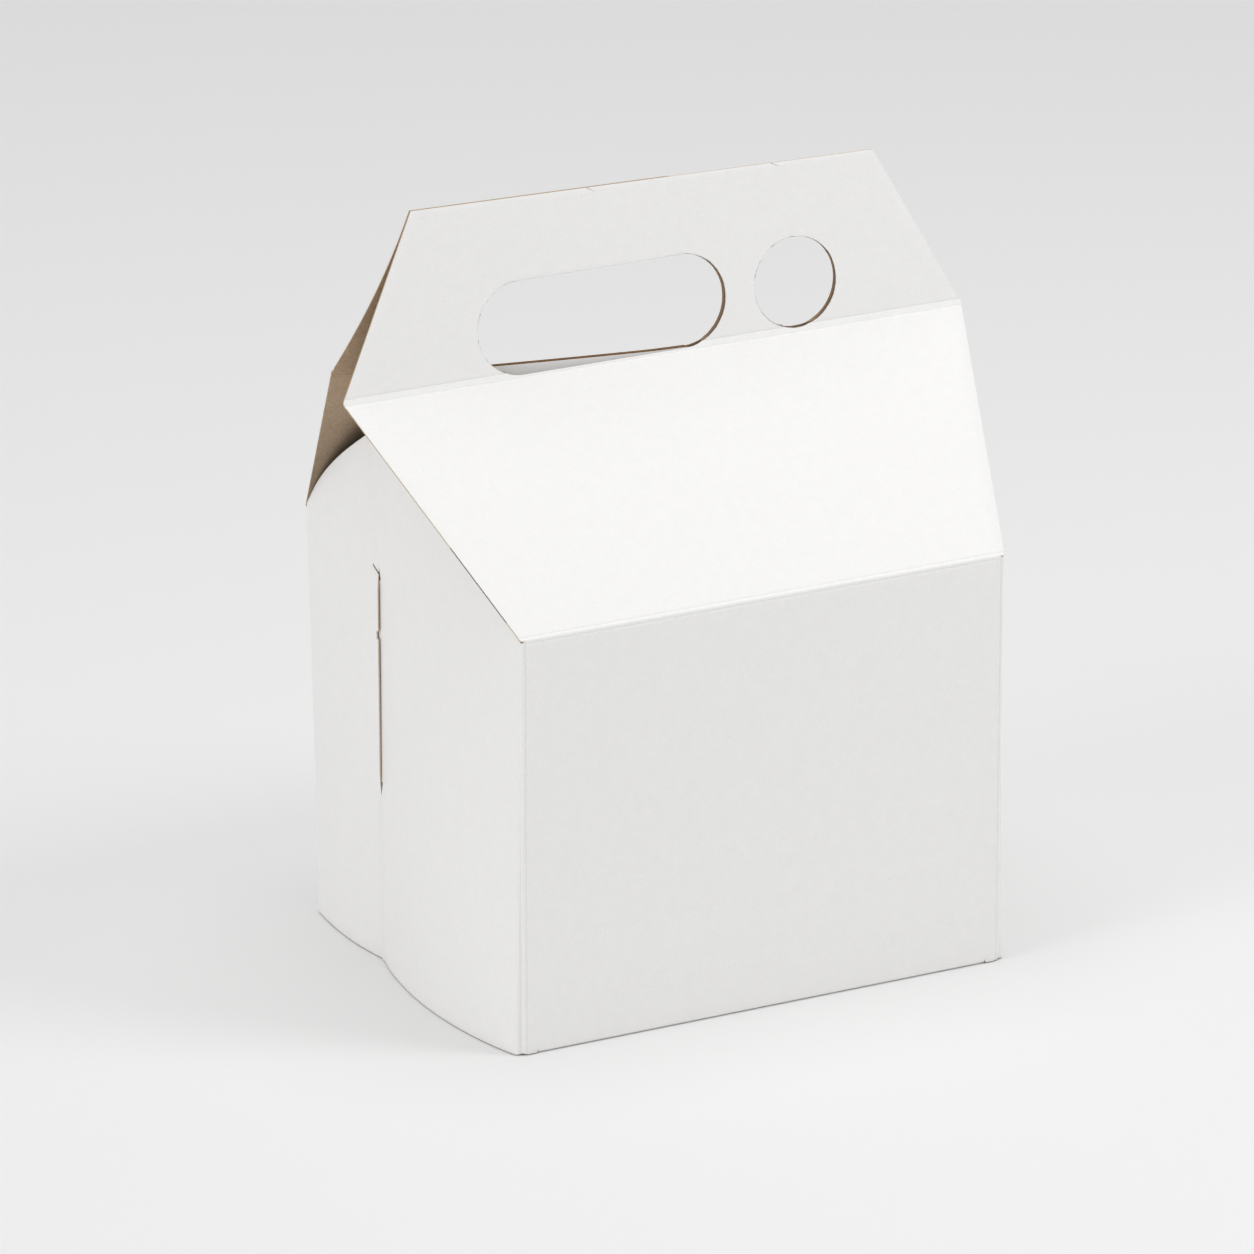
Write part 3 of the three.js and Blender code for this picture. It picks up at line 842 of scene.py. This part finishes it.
# %%
# The crease, and the whole flap
def crease_row(side, ridge, profile, across, t):
    crease = profile[0]
    run = crease - roof_corner(side)
    before = crease - run.normalized() * CREASE_LENGTH
    first = CREASE_LENGTH / (profile[1] - crease).length
    after = handle_point(profile, first)
    p = before * (1 - t) ** 2 + crease * 2 * t * (1 - t) + after * t ** 2
    x0 = mix(WALL_WIDTH, ridge, 1 - CREASE_LENGTH / run.length) / 2
    x1 = mix(ridge, HANDLE_TOP_WIDTH, first) / 2
    half = mix(x0, ridge / 2, 2 * t) if t < 0.5 else mix(ridge / 2, x1, 2 * t - 1)
    way = ((crease - before) * (1 - t) + (after - crease) * t).normalized()
    p += Vector((0, -side * way.z, side * way.y)) * score(CREASE_LENGTH * (1 - 2 * t))
    return across * half, p.y, p.z


def lid_point(side, ridge, profile_at, across, row):
    profile = profile_at(across)
    crease = profile[0]
    if row <= 0:
        return fold_row(side, crease, across, row)
    if row <= 1:
        return roof_row(side, ridge, crease, across, row)
    if row < 2:
        return crease_row(side, ridge, profile, across, row - 1)
    t = mix(CREASE_LENGTH / (profile[1] - crease).length, 1, row - 2)
    p = handle_point(profile, t)
    p.y -= side * score((p - crease).length)
    return across * mix(ridge, HANDLE_TOP_WIDTH, t) / 2 + TOP_SHIFT * t, p.y, p.z


# %% [markdown]
# ## The two roof flaps
# Both flaps come from the same function, with their own width and profile.
# The grid is folded first and punched afterwards, so the slot and the hole
# are cut straight through the two handles in the same direction, as one die
# would do. The rear flap has twice the columns, because it is curved.

# %%
SCORE_END, CREASE_START = 0.022, 0.985


def lid_rows():
    """Rows that crowd beside the fold and the crease."""
    close = steps(0, SCORE_END, 9)[1:]
    rows = steps(-1, 0, 6) + close + steps(SCORE_END, CREASE_START, 18)[1:] + steps(CREASE_START, 1, 5)[1:]
    return rows + steps(1, 2, 14)[1:] + [2 + t for t in close] + steps(2 + SCORE_END, 3, 26)[1:]


def lid(side, ridge, profile_at, columns, slot_cut):
    place = lambda a, r: lid_point(side, ridge, profile_at, a, r)
    sheet = folded_grid(steps(-1, 1, columns), lid_rows(), place)
    for cut in (slot_cut, hole_outline()):
        punch(sheet, cut, Vector((0, 1, 0)), lambda c: c.z > FRONT_CREASE.z - 8)
    return sheet


front = lid(-1, RIDGE_WIDTH, front_profile, 40, slot_outline())
rear = lid(1, REAR_RIDGE_WIDTH, rear_profile, 80, rear_slot)
board_piece("front_lid", front, "front_roof", ["front_flap"], (0, -1, 1))
board_piece("rear_lid", rear, "rear_roof", ["rear_flap"], (0, 1, 1))


# %% [markdown]
# ## The slot's tongue
# The board from the rear slot isn't thrown away. It stays on at the slot's
# lower edge and is folded over by more than a right angle, so fingers rest on
# a rounded fold and not on a raw edge. The tongue is a sheet of its own that
# rides with the rear flap: nearly a half turn, and then a flat panel with the
# round ends of the slot. Its fold shows the brown core where the coating cracks,
# and those faces get the darker brown of the cut edges in shade: painted shade.

# %%
TONGUE_TURN, TONGUE_BEND = math.radians(168), 0.62
TONGUE_SIT, TONGUE_STRETCH = 0.04, 9
TONGUE_BOARD, WORN_AND_SHADED_HEIGHT = 0.44, 0.12


def tongue_point(a, s):
    """A point of the tongue. s runs from 0 to 1 round the fold and from 1 to 2 down the tongue."""
    r = SLOT["height"] / 2
    half = SLOT["length"] / 2 - r
    angle = TONGUE_TURN * min(s, 1)
    y, z = TONGUE_BEND * (1 - math.cos(angle)), TONGUE_BEND * math.sin(angle)
    if s > 1:
        v = r * (1 - math.cos(math.pi * (s - 1)))
        half += math.sqrt(max(0, r ** 2 - (r - v) ** 2))
        y += v * math.sin(TONGUE_TURN)
        z += v * math.cos(TONGUE_TURN)
    stretch = TONGUE_STRETCH * (1 - a) / 2
    x = SLOT["x"] + half * a - (stretch if s <= 1 else stretch * (2 - s))
    root = rear_profile(2 * x / REAR_RIDGE_WIDTH)[0].y - TONGUE_SIT
    return to_rear_slot(Vector((x, root - y, FRONT_CREASE.z + z - TONGUE_SIT)))


# %%
# The tongue, its fold brown where the coating cracks and darker as painted shade
tongue = folded_grid(steps(-1, 1, 36), steps(0, 1, 20) + steps(1, 2, 18)[1:], tongue_point)
for face in tongue.faces:
    middle = face.calc_center_median()
    base = to_rear_slot(Vector((middle.x / MM, 0, FRONT_CREASE.z))).z * MM
    if middle.z > base + WORN_AND_SHADED_HEIGHT * MM:
        face.material_index = EDGE
board_piece("rear_tongue", tongue, "rear_roof", [], (0, 0, 1), TONGUE_BOARD, lips=False)

# %% [markdown]
# ## Floor
# The carton stands on a plain pale floor, wide enough that its edge is never
# seen. It lies a fifth of a millimetre under the carton, so the two never
# share a plane. The floor keeps the soft shadow that shows the carton stands.

# %%
bpy.ops.mesh.primitive_plane_add(size=12, location=(0, 0, -0.0002))
floor = bpy.context.object
floor.name = "floor"
floor_finish, nodes, links, shader = board_material("floor")
shader.inputs["Base Color"].default_value = (0.86, 0.86, 0.86, 1)
shader.inputs["Roughness"].default_value = 0.9
floor.data.materials.append(floor_finish)
print("floor:", [round(v, 1) for v in floor.dimensions])


# %% [markdown]
# ## Light
# White board is shown by small differences in grey: the roof is brightest,
# the handle less so, the end wall and the front wall least. Three large soft
# lamps give those steps. The one overhead lights the roof, the one at the
# left the end wall, and a small near one lights handle and front wall. Their
# power is kept low enough that the roof doesn't burn out to plain white.

# %%
def lamp(name, place, size, power, aim=(0, 0, 0.11)):
    data = bpy.data.lights.new(name, "AREA")
    data.shape = "DISK"
    data.size = size
    data.energy = power
    lamp_object = bpy.data.objects.new(name, data)
    bpy.context.scene.collection.objects.link(lamp_object)
    lamp_object.location = place
    way = Vector(aim) - Vector(place)
    lamp_object.rotation_euler = way.to_track_quat("-Z", "Y").to_euler()
    print("lamp", name, "at", place, "with", power, "W")


lamp("overhead", (0.0, 0.1, 2.4), 1.8, 13.1)
lamp("near", (0.65, -0.65, 1.0), 0.5, 3.5, (0, 0, 0.25))
lamp("left", (-2.3, -0.4, 1.2), 1.3, 12.4)

# %% [markdown]
# ## World
# The surroundings are white where they are seen, straight, in a reflection or
# through something clear, and softer as a light, so that they fill the
# shadows without washing out the folds. Light Path tells the kinds of ray
# apart: the three answers are added and choose between two backgrounds.

# %%
FILL = 0.57
world = bpy.data.worlds.new("pale")
bpy.context.scene.world = world
world.use_nodes = True
nodes, links = world.node_tree.nodes, world.node_tree.links


def white_background(strength):
    background = nodes.new("ShaderNodeBackground")
    background.inputs["Color"].default_value = (1, 1, 1, 1)
    background.inputs["Strength"].default_value = strength
    return background.outputs[0]


def either(a, b):
    """1 where at least one of two answers is 1."""
    total = nodes.new("ShaderNodeMath")
    total.operation = "ADD"
    total.use_clamp = True
    links.new(a, total.inputs[0])
    links.new(b, total.inputs[1])
    return total.outputs[0]


rays = nodes.new("ShaderNodeLightPath").outputs
seen = either(either(rays["Is Camera Ray"], rays["Is Glossy Ray"]), rays["Is Transmission Ray"])
choose = nodes.new("ShaderNodeMixShader")
links.new(seen, choose.inputs["Fac"])
links.new(white_background(FILL), choose.inputs[1])
links.new(white_background(1), choose.inputs[2])
links.new(choose.outputs[0], nodes["World Output"].inputs["Surface"])
print("world: white to the eye, and", FILL, "as a light")

# %% [markdown]
# ## Camera
# The camera looks at the carton from its left front, from a little above and
# with a long lens, which keeps the upright edges nearly parallel. Its place
# and its three axes were fitted to the outline of the real carton, so they
# are written as they came out.

# %%
camera_data = bpy.data.cameras.new("camera")
camera_data.lens = 270.45
camera_data.sensor_width = 36
camera = bpy.data.objects.new("camera", camera_data)
bpy.context.scene.collection.objects.link(camera)
right = Vector((0.887683, -0.460315, -0.011409))
down = Vector((-0.1599, -0.28493, -0.945117))
ahead = Vector((0.431801, 0.840789, -0.326532))
turn = Matrix((right, -down, -ahead)).transposed().to_4x4()
camera.matrix_world = Matrix.Translation((-1.22317, -2.36476, 1.0183)) @ turn
bpy.context.scene.camera = camera
bpy.context.scene.view_settings.view_transform = "Standard"
print("camera:", camera_data.lens, "mm lens at", [round(v, 2) for v in camera.location])
